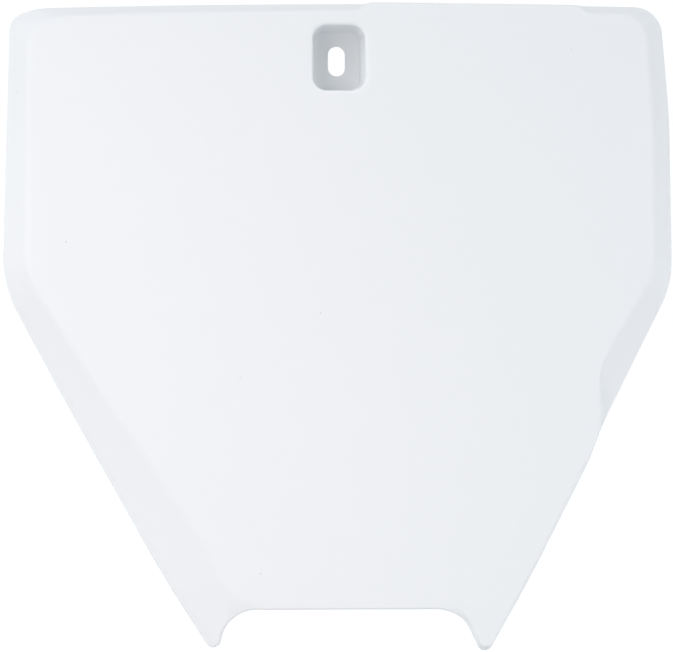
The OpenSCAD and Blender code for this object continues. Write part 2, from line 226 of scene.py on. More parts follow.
def right_at(z):
    if z < FLUSH_Z:
        return mix(RIGHT_W, FLUSH_X, (z - SIDE_Z) / (FLUSH_Z - SIDE_Z))
    return mix(FLUSH_X, right_tip_x, (z - FLUSH_Z) / (FOOT_Z - FLUSH_Z))


def left_at(z):
    return mix(-LEFT_W, left_tip_x, (z - SIDE_Z) / (FOOT_Z - SIDE_Z))


print("top edge at the left, the tab and the right, mm:", [round(top_at(x), 2) for x in (-120, 9, 120)])

# %% [markdown]
# ## The corners
#
# Every corner of the board is one entry of the lists below, clockwise from the top left as seen from the
# front. It has a point of the rim with its depth behind the face, and the length that its round takes of
# both sides. Then come the point of the crease with the step below it, the length for the crease's own
# round, and the facets that both rounds have in the CAD solid. Where the board is flush, as at the tab and
# on the lower right edge, the crease runs close to the rim. A small number in an entry moves that one point
# by so many millimetres.

# %% Corners of the top edge
Corner = namedtuple("Corner", "rim rim_round crease crease_round facets")
# The step below the crease: its softness, then its width and its depth as shares of the bevel
PLAIN = (CREASE_SOFT, 0.3, 0.3)
FLUSH = (0.8, 0.7, 0.7)
TAB_END = (0.3, 0.12, 0.6)
# The top left corner is cut off at a slant, and so is the crease inside it.
RIM_CUT_W, RIM_CUT_H = 7.2, 4.9
CREASE_CUT_W, CREASE_CUT_H = 8.0, 6.3
CREASE_IN = 7.0
left_z, cut_x = top_at(side_top_left), side_top_left + RIM_CUT_W
crease_left_x, crease_left_z = side_top_left + CREASE_IN, left_z - BEVEL_TOP - 0.1
tab_left_z, tab_right_z = top_at(TAB_LEFT), top_at(TAB_RIGHT)
top_corners = [
    # The top left corner and the long edge to the tab
    Corner((side_top_left, left_z - RIM_CUT_H, RIM_DROP), 4,
           (crease_left_x, crease_left_z - CREASE_CUT_H, *PLAIN), 7, 3),
    Corner((cut_x, top_at(cut_x), RIM_DROP), 8,
           (crease_left_x + CREASE_CUT_W, crease_left_z, *PLAIN), 9, 4),
    Corner((top_mid_x, top_at(top_mid_x), RIM_DROP), 20,
           (top_mid_x, top_at(top_mid_x) - BEVEL_TOP + 0.2, *PLAIN), 20, 2),
    # The left end of the tab
    Corner((TAB_LEFT + 1.5, tab_left_z, RIM_DROP), 1,
           (TAB_LEFT - TAB_RUN / 2, tab_left_z - BEVEL_TOP + 0.5, *PLAIN), 1.5, 2),
    Corner((TAB_LEFT + 3.5, tab_left_z + TAB_RISE, RIM_DROP), 1,
           (TAB_LEFT + TAB_RUN / 2 + 0.5, tab_left_z + TAB_RISE - 2 * FLUSH_W, *FLUSH), 1.5, 2),
    # The right end of the tab
    Corner((TAB_RIGHT - 2.5, tab_right_z + TAB_RISE_RIGHT, RIM_DROP), 0.6,
           (TAB_RIGHT - 2, tab_right_z + TAB_RISE_RIGHT - 2 * FLUSH_W, *FLUSH), 0.6, 1),
    Corner((TAB_RIGHT, tab_right_z, RIM_DROP), 0.6,
           (TAB_RIGHT + 0.2, tab_right_z - 1.6, *TAB_END), 0.5, 1),
    Corner((TAB_RIGHT + 3, tab_right_z, RIM_DROP), 0.8,
           (TAB_RIGHT + 2.6, tab_right_z - BEVEL_TOP + 0.4, *PLAIN), 1, 1),
    # The top right corner
    Corner((side_top_right, TOP_Z, RIM_DROP), 10,
           (side_top_right - CREASE_IN, TOP_Z - BEVEL_TOP, *PLAIN), 9, 6),
]
print("corners of the top edge:", len(top_corners))

# %% Corners of the right side
SOFT = (FLUSH_SOFT, 0.7, 0.7)
RUN_OUT_START, RUN_OUT, RUN_OUT_END = (0.6, 0.06, 0.1), (0.3, 0.08, 0.55), (0.6, 0.7, 0.9)
# Where the bevel runs out, the rim bends lower down than the crease.
RIM_LOWER = 4.0
low_right_x = right_at(low_right_z) + 0.8 * RIGHT_SWELL
knee_right_x = right_at(knee_right_z) + RIGHT_SWELL
right_tip_z = -FOOT_Z - RIGHT_TIP_DROP
tip_round = turn_setback(TIP_R, TIP_TURN)
right_corners = [
    # The side and its corner
    Corner((RIGHT_W - 0.6, -side_mid_z, RIM_DROP), 8,
           (RIGHT_W - BEVEL_SIDE + 0.6, -side_mid_z, *PLAIN), 8, 2),
    Corner((RIGHT_W, -SIDE_Z, RIM_DROP), 9,
           (RIGHT_W - BEVEL_SIDE + 0.8, -SIDE_Z + 3.2, *PLAIN), 6, 5),
    # The bevel runs out
    Corner((right_at(FLUSH_START_Z + RIM_LOWER), -FLUSH_START_Z - RIM_LOWER, RIM_DROP), 5,
           (FLUSH_X - 0.8, -FLUSH_START_Z, *RUN_OUT_START), 6, 4),
    Corner((right_at(run_out_z + RIM_LOWER / 2), -run_out_z - RIM_LOWER / 2, RIM_DROP), 2,
           (FLUSH_X - 0.6, -run_out_z, *RUN_OUT), 2, 1),
    Corner((FLUSH_X, -FLUSH_Z, RIM_DROP), 2,
           (FLUSH_X - FLUSH_W, -FLUSH_Z, *RUN_OUT_END), 2, 2),
    # The flush edge, which swells a little, and the right tip
    Corner((low_right_x, -low_right_z, RIM_DROP), 4,
           (low_right_x - FLUSH_W, -low_right_z, *SOFT), 4, 2),
    Corner((knee_right_x, -knee_right_z, RIM_DROP), 8,
           (knee_right_x - FLUSH_W, -knee_right_z, *SOFT), 8, 2),
    Corner((right_tip_x, right_tip_z, RIM_DROP), tip_round,
           (right_tip_x, right_tip_z + 2 * FLUSH_W, *FLUSH), tip_round, 7),
]
print("corners of the right side:", len(right_corners))

# %% Corners of the arch and the left side
right_arch_round = turn_setback(ARCH_R, ARCH_TURN_RIGHT)
left_arch_round = turn_setback(ARCH_R, ARCH_TURN_LEFT)
droop_z = -ARCH_Z - ARCH_DROOP
low_left_x, mid_left_x = left_at(low_left_z), left_at(mid_left_z)
left_corners = [
    # The arch, whose rim comes forward to the face and whose left part hangs lower
    Corner((ARCH_RIGHT, -ARCH_Z, 0), right_arch_round,
           (ARCH_RIGHT + 1, -ARCH_Z + ARCH_STEP, *FLUSH), right_arch_round, 6),
    Corner((-ARCH_LEFT + 13.5, droop_z, 0), 1,
           (-ARCH_LEFT + 14, droop_z + ARCH_STEP, *FLUSH), 1, 1),
    Corner((-ARCH_LEFT, droop_z, 0.2 * RIM_DROP), left_arch_round,
           (-ARCH_LEFT + 4, droop_z + ARCH_STEP, *FLUSH), 5, 6),
    # The left tip, under the widest bevel
    Corner((left_tip_x, -FOOT_Z, RIM_DROP), tip_round,
           (-ARCH_LEFT - 1.5, -ARCH_Z + 10.5, *PLAIN), 3, 7),
    # The long left side, which swells a little, and its corner
    Corner((low_left_x - LEFT_SWELL, -low_left_z, RIM_DROP), 12,
           (low_left_x + 0.75 * BEVEL_PRONG, -low_left_z + 0.65 * BEVEL_PRONG, *PLAIN), 8, 3),
    Corner((mid_left_x - 0.85 * LEFT_SWELL, -mid_left_z, RIM_DROP), 8,
           (mid_left_x + 9.7, -mid_left_z + 7, *PLAIN), 8, 2),
    Corner((-LEFT_W + 0.2, -SIDE_Z - 1.2, RIM_DROP), 12,
           (-LEFT_W + BEVEL_SIDE + 0.6, -SIDE_Z + 2.2, *PLAIN), 8, 5),
]
corners = top_corners + right_corners + left_corners
print("corners in all:", len(corners))

# %% [markdown]
# ## Rim and crease
#
# Rays from the pocket to the outline carry the mesh of the face. A straight side near the pocket therefore
# gets short steps and one far away gets long ones, so that the rays fan out evenly. Corners get several
# times the steps that the CAD solid has, because its facets would show in a render.

# %% Two paths with equal numbers of points
ARC_FINENESS = 3
RAY_STEP = math.radians(2)
NEAREST = 16.0
SIDE_SAMPLES = 9


def side_step_count(k):
    a, b = np.array(corners[k].rim[:2]), np.array(corners[(k + 1) % len(corners)].rim[:2])
    reach = min(np.linalg.norm(mix(a, b, t)) for t in np.linspace(0, 1, SIDE_SAMPLES))
    return max(1, math.ceil(np.linalg.norm(b - a) / (max(NEAREST, reach) * RAY_STEP)))


arc_steps = [ARC_FINENESS * c.facets for c in corners]
side_steps = [side_step_count(k) for k in range(len(corners))]
rim_points = [np.array(c.rim, float) for c in corners]
crease_points = [np.array(c.crease, float) for c in corners]
rim_path = closed_path(rim_points, [c.rim_round for c in corners], arc_steps, side_steps)
crease_path = closed_path(crease_points, [c.crease_round for c in corners], arc_steps, side_steps)
rim = on_face(rim_path, rim_path[:, 2])
crease = on_face(crease_path)
print("points round the outline:", len(rim))

# %% [markdown]
# ## The rolled crease and the cut edge
#
# On the moulding no edge is sharp. The face rolls over into the bevel at the crease, the step below it ends
# in a small fillet, and the cut edge of the wall is rounded off on both sides. Each roll is an arc across
# the lattice, from a point moved inwards over one surface to a point moved outwards over the other.
#
# The roll on the back gets smaller at tight corners and beside the pocket, where there is less room for it.
# Its inner edge may not double back as seen from the slot, because the mesh of the back starts there.

# %% Moving inwards over the face
NEARLY_ZERO = 1e-9
FOLD_MARGIN, ROLL_SLOPE, LEAST_TURN = 0.25, 0.08, 0.0001


def along(points):
    return unit(np.roll(points, -1, axis=0) - np.roll(points, 1, axis=0))


def inner_edge(points, distance, set_back=0.0):
    """Points moved inwards over the face, square to the path they are on."""
    t = np.roll(points, -1, axis=0) - np.roll(points, 1, axis=0)
    k = np.ravel(distance) / np.hypot(t[:, 0], t[:, 2])
    return on_face(np.column_stack([points[:, 0] + k * t[:, 2], points[:, 2] - k * t[:, 0]]), set_back)


def bend_room(points, most):
    """How far a closed path can move inwards before a round corner folds, changing gently along it."""
    step = np.roll(points, -1, axis=0) - points
    before = np.roll(step, 1, axis=0)
    length = np.hypot(step[:, 0], step[:, 2])
    turn = (before[:, 2] * step[:, 0] - before[:, 0] * step[:, 2]) / (length * np.roll(length, 1))
    limit = np.minimum(most, FOLD_MARGIN * length / np.maximum(turn, NEARLY_ZERO))
    order = list(range(len(points)))
    for k in 2 * order:
        limit[k] = min(limit[k], limit[k - 1] + ROLL_SLOPE * length[k - 1])
    for k in 2 * order[::-1]:
        limit[k - 1] = min(limit[k - 1], limit[k] + ROLL_SLOPE * length[k - 1])
    return limit


def in_turn(points, set_back):
    """Points over the face. Any that falls behind the one before, seen from the slot, is brought past it."""
    least = LEAST_TURN * np.arange(len(points))
    angle = np.unwrap(np.arctan2(-points[:, 2], points[:, 0]))
    angle = np.maximum.accumulate(angle - least) + least
    reach = np.hypot(points[:, 0], points[:, 2])
    return on_face(np.column_stack([reach * np.cos(angle), -reach * np.sin(angle)]), set_back)


crease_length = np.linalg.norm(np.roll(crease, -1, axis=0) - crease, axis=1).sum()
print("length of the crease, mm:", round(crease_length))

# %% Sections across the rim
EDGE_R, FOOT_SETBACK = 0.8, 0.6
# Shares of the room on the bevel that a round may take
EDGE_SHARE, FOOT_SHARE, BACK_SHARE = 0.8, 0.4, 0.5
# Steps of the broad rolls, of the rounds and of the slight ones
ROLL_STEPS, ROUND_STEPS, SLIGHT_STEPS = 8, 5, 4
softness, step_width, step_depth = crease_path[:, 2:3], crease_path[:, 3], crease_path[:, 4]
through = unit(np.cross(along(rim) + along(crease), crease - rim))
inward = unit(np.cross(through, along(rim)))
foot = mix(crease, rim, np.column_stack([step_width, step_depth, step_width]))
room = np.sum((foot - rim) * inward, axis=1, keepdims=True)
edge_in = np.minimum(EDGE_R, EDGE_SHARE * room)
foot_out = np.minimum(FOOT_SETBACK, FOOT_SHARE * (room - edge_in))
crease_roll = arc(inner_edge(crease, softness), crease, toward(crease, foot, softness), ROLL_STEPS)
foot_roll = arc(toward(foot, crease, FOOT_SETBACK), foot, toward(foot, rim, foot_out), SLIGHT_STEPS)
edge_roll = arc(rim + edge_in * inward, rim, rim + EDGE_R * through, ROUND_STEPS)
widths = [room.min(), np.linalg.norm(crease - rim, axis=1).max()]
print("narrowest bevel and widest bevel, mm:", np.round(widths, 1))

# %% The same on the back
POCKET_W, POCKET_H, POCKET_R = 20.0, 24.8, 5.6
POCKET_WALL, TUB_FOOT_R = 1.9, 0.8
BACK_EDGE_R, LEAST_ROLL, BACK_ROLL = 0.4, 0.1, 2.0
# Share of the way to the pocket's back that the roll may take
TUB_SHARE = 0.5
rim_back = rim + WALL * through
back_edge_in = np.minimum(BACK_EDGE_R, BACK_SHARE * room)
back_edge_end = rim_back + back_edge_in * inward
back_edge_roll = arc(rim_back - BACK_EDGE_R * through, rim_back, back_edge_end, SLIGHT_STEPS)
behind_face = through_face(crease)
spread = 1 + np.sum(behind_face * through, axis=1, keepdims=True)
crease_back = crease + WALL * (behind_face + through) / spread
tub_half_w = POCKET_W / 2 + POCKET_WALL + TUB_FOOT_R
tub_half_h = POCKET_H / 2 + POCKET_WALL + TUB_FOOT_R
to_tub = np.maximum(np.abs(crease_back[:, 0]) - tub_half_w, np.abs(crease_back[:, 2]) - tub_half_h)
back_r = bend_room(crease_back, np.clip(TUB_SHARE * to_tub, LEAST_ROLL, BACK_ROLL))
back_edge = in_turn(inner_edge(crease_back, back_r, WALL), WALL)
back_roll = arc(toward(crease_back, rim_back, back_r[:, None]), crease_back, back_edge, ROUND_STEPS)
print("smallest and largest roll on the back, mm:", np.round([back_r.min(), back_r.max()], 2))

# %% [markdown]
# ## The pocket
#
# The pocket is drafted by six degrees, as a moulded pocket has to be to leave its tool. Its mouth and its
# floor are rounded. A ring of it is a rounded rectangle, and a ray from the slot's centre meets each ring
# in one point. The same rays go on over the face to the crease, so that pocket, face and rim share one
# unbroken lattice. The pocket's back, which stands out behind the board like a small tub, has rays of its
# own.

# %% Rounded rectangles met by rays
# Share by which rays are moved towards an even fan
EVENING = 0.2


def ray_to_rectangle(rays, half_w, half_h, r):
    """Where rays from the centre meet a rectangle with round corners."""
    d = np.abs(rays)
    to_side = half_w / np.maximum(d[:, 0], NEARLY_ZERO)
    to_end = half_h / np.maximum(d[:, 1], NEARLY_ZERO)
    cx, cz = half_w - r, half_h - r
    inside = d[:, 0] * cx + d[:, 1] * cz
    to_corner = inside + np.sqrt(np.maximum(0.0, inside ** 2 - cx * cx - cz * cz + r * r))
    reach = np.where(to_side * d[:, 1] <= cz, to_side, np.where(to_end * d[:, 0] <= cx, to_end, to_corner))
    return rays * reach[:, None]


def bearings_of(points):
    """Rays towards some points, evened out a little so that no two fall together."""
    angle = np.unwrap(np.arctan2(-points[:, 2], points[:, 0]))
    even = angle[0] + 2 * math.pi * np.arange(len(points)) / len(points)
    angle = mix(angle, even, EVENING)
    return np.column_stack([np.cos(angle), -np.sin(angle)])


front_rays = bearings_of(crease_roll[0])
back_rays = bearings_of(back_roll[-1])
turns = np.diff(np.unwrap(np.arctan2(-front_rays[:, 1], front_rays[:, 0])))
print("steps between rays, degrees:", np.round(np.degrees([turns.min(), turns.max()]), 2))

# %% Sections of the pocket's walls
POCKET_DRAFT = math.radians(6)
LIP_W, LIP_DEPTH, LIP_LEVEL, LIP_EDGE = 1.6, 0.6, 0.65, 0.3
FLOOR_R, FLOOR_STEPS = 1.0, 6
SEAT_RISE = 0.4
TUB_FLOOR_R = FLOOR_R + 0.5 * POCKET_WALL
WALL_SHARES, TUB_SHARES = (0.25, 0.5, 0.75), (0.33, 0.67)
tub_depth = POCKET_DEPTH + FLOOR_T - SEAT_RISE


def drafted(depth):
    return -depth * math.tan(POCKET_DRAFT)


def wall_arc(depth, side, r, offset, steps):
    """Round section between a drafted wall and the surface at a depth, as pairs of growth and depth."""
    s = r * math.tan((math.pi / 2 - POCKET_DRAFT) / 2)
    up = depth + side * s * math.cos(POCKET_DRAFT)
    on_surface = np.array([drafted(depth) + offset + side * s, depth])
    corner = np.array([drafted(depth) + offset, depth])
    on_wall = np.array([drafted(up) + offset, up])
    return arc(on_surface, corner, on_wall, steps)


floor_arc = wall_arc(POCKET_DEPTH, -1, FLOOR_R, 0, FLOOR_STEPS)
lip_start, lip_middle = np.array([LIP_W, 0.0]), np.array([(1 - LIP_LEVEL) * LIP_W, 0.0])
lip_end = np.array([drafted(LIP_DEPTH), LIP_DEPTH])
lip = arc(lip_start, lip_middle, lip_end, ROLL_STEPS)
over_edge, under_edge = toward(lip_end, lip[-2], LIP_EDGE), toward(lip_end, floor_arc[-1], LIP_EDGE)
lip_edge = arc(over_edge, lip_end, under_edge, SLIGHT_STEPS)
mouth_arc = lip[:-1] + lip_edge
tub_foot_arc = wall_arc(WALL, 1, TUB_FOOT_R, POCKET_WALL, ROUND_STEPS)
tub_floor_arc = wall_arc(tub_depth, -1, TUB_FLOOR_R, POCKET_WALL, FLOOR_STEPS)
print("pocket floor, mm:", round(POCKET_W + 2 * drafted(POCKET_DEPTH), 1), "x",
      round(POCKET_H + 2 * drafted(POCKET_DEPTH), 1))

# %% Rings of the pocket and of its back
def pocket_ring(section, rays, curved, flat):
    """A ring that follows the face at one depth and is flat at another."""
    grow, depth = section
    plan = ray_to_rectangle(rays, POCKET_W / 2 + grow, POCKET_H / 2 + grow, POCKET_R + grow)
    level = min(1.0, max(0.0, (depth - curved) / (flat - curved)))
    y = mix(face_depth(plan[:, 0], plan[:, 1]), FACE_FRONT, level) + depth
    return np.column_stack([plan[:, 0], y, plan[:, 1]])


wall_rows = [mix(floor_arc[-1], mouth_arc[-1], t) for t in WALL_SHARES]
tub_rows = [mix(tub_foot_arc[-1], tub_floor_arc[-1], t) for t in TUB_SHARES]
pocket_sections = floor_arc + wall_rows + mouth_arc[::-1]
tub_sections = tub_foot_arc + tub_rows + tub_floor_arc[::-1]
pocket_rings = [pocket_ring(s, front_rays, 0, POCKET_DEPTH) for s in pocket_sections]
tub_rings = [pocket_ring(s, back_rays, WALL, tub_depth) for s in tub_sections]
print("rings of the pocket and of the tub behind it:", len(pocket_rings), len(tub_rings))

# %% Slot and seat
SLOT_W, SLOT_L, SLOT_EDGE = 6.4, 11.2, 0.2
SEAT_MARGIN, SEAT_EDGE = 0.2, 0.15
# The slot's ends are round but for this hair's breadth on each side of their middle.
SLOT_FLAT = 0.001


def flat_ring(rays, half_w, half_h, r, y):
    plan = ray_to_rectangle(rays, half_w, half_h, r)
    return np.column_stack([plan[:, 0], np.full(len(plan), y), plan[:, 1]])


def slot_ring(rays, grow, y):
    half_w = SLOT_W / 2 + grow
    return flat_ring(rays, half_w, SLOT_L / 2 + grow, half_w - SLOT_FLAT, y)


seat_inset = drafted(tub_depth) + POCKET_WALL - TUB_FLOOR_R - SEAT_MARGIN
seat_foot = (POCKET_W / 2 + seat_inset, POCKET_H / 2 + seat_inset, POCKET_R - TUB_FLOOR_R)
seat_top = [size - SEAT_EDGE for size in seat_foot]
seat_rings = [flat_ring(back_rays, *seat_foot, -SEAT_RISE), flat_ring(back_rays, *seat_foot, -SEAT_EDGE),
              flat_ring(back_rays, *seat_top, 0)]
slot_front = [slot_ring(front_rays, 0, -FLOOR_T + SLOT_EDGE), slot_ring(front_rays, SLOT_EDGE, -FLOOR_T)]
slot_back = [slot_ring(back_rays, SLOT_EDGE, 0), slot_ring(back_rays, 0, -SLOT_EDGE)]
print("seat round the slot, mm:", np.round([2 * seat_foot[0], 2 * seat_foot[1]], 1))

# %% [markdown]
# ## One closed lattice
#
# All rings have the same number of points. Put in order they run from the slot over the pocket's floor, up
# its walls, over the face and the rim, round the back and down to the slot again. Faces between
# neighbouring rings then close the whole skin without a single triangle, which keeps the shading of the
# satin surface even.

# %% Rows over the face, in front and behind
FACE_SHARES = [0.04, 0.1, 0.18, 0.27, 0.36, 0.45, 0.54, 0.63, 0.72, 0.8, 0.88, 0.95]
BEVEL_ROWS, BACK_BEVEL_ROWS = 3, 4


def face_rows(near, edge, set_back):
    return [on_face(mix(near[:, [0, 2]], edge[:, [0, 2]], t), set_back) for t in FACE_SHARES]


def between(a, b, count):
    return [mix(a, b, i / (count + 1)) for i in range(1, count + 1)]


rings = (
    slot_front + pocket_rings
    + face_rows(pocket_rings[-1], crease_roll[0], 0.0)
    + crease_roll + foot_roll + between(foot_roll[-1], edge_roll[0], BEVEL_ROWS) + edge_roll
    + back_edge_roll + between(back_edge_roll[-1], back_roll[0], BACK_BEVEL_ROWS) + back_roll
    + face_rows(tub_rings[0], back_roll[-1], WALL)[::-1]
    + tub_rings + seat_rings + slot_back
)
print("rings:", len(rings), "points:", len(rings) * len(rim))

# %% Skin mesh
def mesh_object(name, points, faces):
    mesh = bpy.data.meshes.new(name)
    mesh.from_pydata([tuple(p) for p in np.array(points) * MM], [], faces)
    mesh.validate()
    obj = bpy.data.objects.new(name, mesh)
    scene.collection.objects.link(obj)
    return obj


def torus_faces(ring_count, n):
    """Faces between rings of n points each, the last ring being joined to the first."""
    faces = []
    for k in range(ring_count):
        here, there = k * n, (k + 1) % ring_count * n
        for i in range(n):
            j = (i + 1) % n
            faces.append((here + i, here + j, there + j, there + i))
    return faces


board = mesh_object("number_board_moulding", np.vstack(rings), torus_faces(len(rings), len(rim)))
print("faces:", len(board.data.polygons))

# %% [markdown]
# ## Gussets and holding lugs
#
# Behind the pocket four thin gussets stiffen its walls, and low on the back two lugs hook over the machine.
# They are part of the same moulding. Each is a flat profile pushed out to its thickness with its edges
# eased, and a union joins them to the skin, so that the finished piece is one closed mesh like the real
# one.

# %% Profiles as plates
RIB_T = 1.8
EASED, EASED_SEGMENTS = 0.3, 2
# How deep a plate's foot sinks into its wall, as a share of the wall, so that the union has a hold
SUNK = 0.5
plates = []


def profile_plate(name, profile, thickness, place):
    """profile is in y and z, the plate is as thick along x, and place turns a point into its final one."""
    count = len(profile)
    points = [place(np.array((side * thickness / 2, y, z))) for side in (-1, 1) for y, z in profile]
    faces = [tuple(range(count)), tuple(reversed(range(count, 2 * count)))]
    faces += [(i, i + count, (i + 1) % count + count, (i + 1) % count) for i in range(count)]
    obj = mesh_object(name, points, faces)
    bm = bmesh.new()
    bm.from_mesh(obj.data)
    bmesh.ops.recalc_face_normals(bm, faces=bm.faces)
    bmesh.ops.bevel(bm, geom=bm.edges, offset=EASED * MM, segments=EASED_SEGMENTS, profile=0.5,
                    affect="EDGES")
    bm.to_mesh(obj.data)
    bm.free()
    plates.append(obj)


print("plates are sunk into the wall by, mm:", SUNK * WALL)

# %% Gussets
GUSSET_L, GUSSET_RISE = 9.0, 0.7
low = -(POCKET_H / 2 + POCKET_WALL + GUSSET_L)
out = POCKET_W / 2 + POCKET_WALL + GUSSET_L


def gusset(name, half, back, place):
    """A triangle on one wall of the tub. half is half the pocket's size there, and back the back's depth."""
    root, grip, top = back - SUNK * WALL, SUNK * POCKET_WALL, GUSSET_RISE * tub_depth
    at_foot, at_top = -half - drafted(WALL) - POCKET_WALL, -half - drafted(top) - POCKET_WALL
    profile = [(root, at_foot - GUSSET_L), (FACE_FRONT + top, at_top + grip), (root, at_foot + grip)]
    profile_plate(name, profile, RIB_T, place)


for side in (-1, 1):
    x = side * POCKET_W / 4
    gusset("gusset_low", POCKET_H / 2, face_depth(x, low) + WALL, lambda p, x=x: p + np.array((x, 0, 0)))
    gusset("gusset_side", POCKET_W / 2, face_depth(out, 0.0) + WALL,
           lambda p, side=side: np.array((-side * p[2], p[1], side * p[0])))
print("gussets:", len(plates))

# %% Lugs
LUG_SPACING, LUG_RISE, LUG_W, LUG_REACH, LUG_T, HOOK_L = 52.0, 15.0, 14.0, 11.0, 2.4, 6.0
# The rib's height as a share of the lug's reach, and the nose's slant as a share of its thickness
RIB_RISE, NOSE_SLANT = 0.7, 0.4


def lug(x):
    """A plate that reaches back and hooks down, with a rib over each of its edges."""
    z = LUG_RISE - ARCH_Z
    back = face_depth(x, z) + WALL
    root, end = back - SUNK * WALL, back + LUG_REACH
    under, over = z - LUG_T / 2, z + LUG_T / 2
    hook = [
        (root, under), (end - LUG_T, under), (end - LUG_T, under - HOOK_L),
        (end - NOSE_SLANT * LUG_T, under - HOOK_L), (end, z - HOOK_L), (end, z),
        (end - LUG_T / 2, over), (root, over),
    ]
    profile_plate("lug", hook, LUG_W, lambda p: p + np.array((x, 0, 0)))
    rib = [(root, z), (end - LUG_T, z), (root, z + RIB_RISE * LUG_REACH)]
    for side in (-1, 1):
        rib_x = x + side * (LUG_W - RIB_T) / 2
        profile_plate("lug_rib", rib, RIB_T, lambda p, rib_x=rib_x: p + np.array((rib_x, 0, 0)))


for side in (-1, 1):
    lug(side * LUG_SPACING / 2)
print("plates on the back:", len(plates))

# %% Join them into one moulding
SHARP_ANGLE = math.radians(40)
SHORTEST_EDGE = 0.001
CM3 = 1e-6


def face_outwards(obj):
    """Collapses the slivers that a union can leave, turns every face outwards, and returns the volume."""
    bm = bmesh.new()
    bm.from_mesh(obj.data)
    bmesh.ops.dissolve_degenerate(bm, dist=SHORTEST_EDGE * MM, edges=bm.edges)
    bmesh.ops.recalc_face_normals(bm, faces=bm.faces)
    bm.to_mesh(obj.data)
    volume = bm.calc_volume()
    bm.free()
    return volume


def union(obj, other):
    joining = obj.modifiers.new("union", "BOOLEAN")
    joining.operation, joining.solver, joining.object = "UNION", "MANIFOLD", other
    result = bpy.data.meshes.new_from_object(obj.evaluated_get(bpy.context.evaluated_depsgraph_get()))
    obj.modifiers.clear()
    obj.data = result
    bpy.data.objects.remove(other)


skin_volume = face_outwards(board)
for plate in plates:
    union(board, plate)
volume = face_outwards(board)
board.data.shade_smooth()
board.data.set_sharp_from_angle(angle=SHARP_ANGLE)
print("volume of the skin and of the whole, cm3:", round(skin_volume / CM3, 2), round(volume / CM3, 2))

# %% [markdown]
# ## White polypropylene
#
# Polypropylene is a slightly waxy plastic. A spark-eroded tool gives it a very fine texture, which spreads
# the highlights into a satin sheen. The white pigment here is a cool one. A moulding of it also holds a few
# small dark specks of burnt plastic. What little light enters the wall doesn't show, so the shader has no
# scattering. One material made of patterns does all of this: noise for the grain, and cells with a dot in
# each for the specks.

# %% Colours and a node helper
def linear(hex_colour):
    """Linear colour of an sRGB hex value."""
    values = [int(hex_colour[i:i + 2], 16) / 255 for i in (1, 3, 5)]
    return [v / 12.92 if v <= 0.04045 else ((v + 0.055) / 1.055) ** 2.4 for v in values] + [1.0]


def add(tree, kind, settings=None, links=None):
    """Adds a node. Settings are its properties or sockets, by name or number. Links are outputs to join."""
    node = tree.nodes.new(kind)
    for key, value in (settings or {}).items():
        if isinstance(key, int) or key in node.inputs:
            node.inputs[key].default_value = value
        else:
            setattr(node, key, value)
    for key, output in (links or {}).items():
        tree.links.new(output, node.inputs[key])
    return node


PIGMENT, BURNT = "#EAEEF0", "#A8A49C"
# A Mix node keeps its two colours in sockets 6 and 7 and gives the mixed one from output 2.
MIX_A, MIX_B, MIX_RESULT = 6, 7, 2
print("pigment, linear:", [round(v, 3) for v in linear(PIGMENT)])

# %% The moulded finish
# The grain of such a tool is under a tenth of a millimetre, too fine to show, so it is drawn coarser.
GRAIN_MM, GRAIN_DEPTH_MM, GRAIN_STRENGTH = 0.35, 0.004, 0.6
# A speck is the part of a cell within this radius of its centre. Only those that lie in the surface show.
SPECK_CELL_MM, SPECK_R_MM = 13.0, 0.18


def moulded_polypropylene():
    """Moulded by a spark-eroded tool: cool white and satin, with no sharp reflection anywhere."""
    material = bpy.data.materials.new("moulded_polypropylene_white")
    material.use_nodes = True
    tree = material.node_tree
    tree.nodes.clear()
    place = add(tree, "ShaderNodeTexCoord").outputs["Object"]
    grain = add(tree, "ShaderNodeTexNoise", {"Scale": 1 / (GRAIN_MM * MM), "Detail": 2.0},
                {"Vector": place})
    bump = add(tree, "ShaderNodeBump", {"Strength": GRAIN_STRENGTH, "Distance": GRAIN_DEPTH_MM * MM},
               {"Height": grain.outputs["Fac"]})
    cells = add(tree, "ShaderNodeTexVoronoi", {"Scale": 1 / (SPECK_CELL_MM * MM), "feature": "F1"},
                {"Vector": place})
    inside = add(tree, "ShaderNodeMath", {"operation": "LESS_THAN", 1: SPECK_R_MM / SPECK_CELL_MM},
                 {0: cells.outputs["Distance"]})
    colour = add(tree, "ShaderNodeMix", {"data_type": "RGBA", MIX_A: linear(PIGMENT), MIX_B: linear(BURNT)},
                 {0: inside.outputs[0]})
    shader = add(tree, "ShaderNodeBsdfPrincipled", {"Roughness": 0.42, "IOR": 1.49},
                 {"Base Color": colour.outputs[MIX_RESULT], "Normal": bump.outputs["Normal"]})
    add(tree, "ShaderNodeOutputMaterial", None, {"Surface": shader.outputs["BSDF"]})
    return material


board.data.materials.clear()
board.data.materials.append(moulded_polypropylene())
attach(board, "root")
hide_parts("number_board")
print("materials:", [m.name for m in board.data.materials])

# %% [markdown]
# ## The floor
#
# The board hangs on its bolt over a floor of matt white paint, which gives no highlight and keeps a faint
# shadow. To the camera and to reflections the floor is nearly all plain white light, so that no horizon
# shows.

# %% A white floor
FLOOR_DROP, FLOOR_HALF = 300.0, 12000.0
FLOOR_PAINT = "#F4F4F4"
# How much of the floor is its own light, where it is seen directly
FLOOR_GLOW = 0.85


def seen_directly(tree):
    """1 for rays of the camera, of reflections and of transmission, and 0 for rays that carry light."""
    path = add(tree, "ShaderNodeLightPath").outputs
    first = add(tree, "ShaderNodeMath", {"operation": "MAXIMUM"},
                {0: path["Is Camera Ray"], 1: path["Is Glossy Ray"]})
    both = add(tree, "ShaderNodeMath", {"operation": "MAXIMUM"},
               {0: first.outputs[0], 1: path["Is Transmission Ray"]})
    return both.outputs[0]


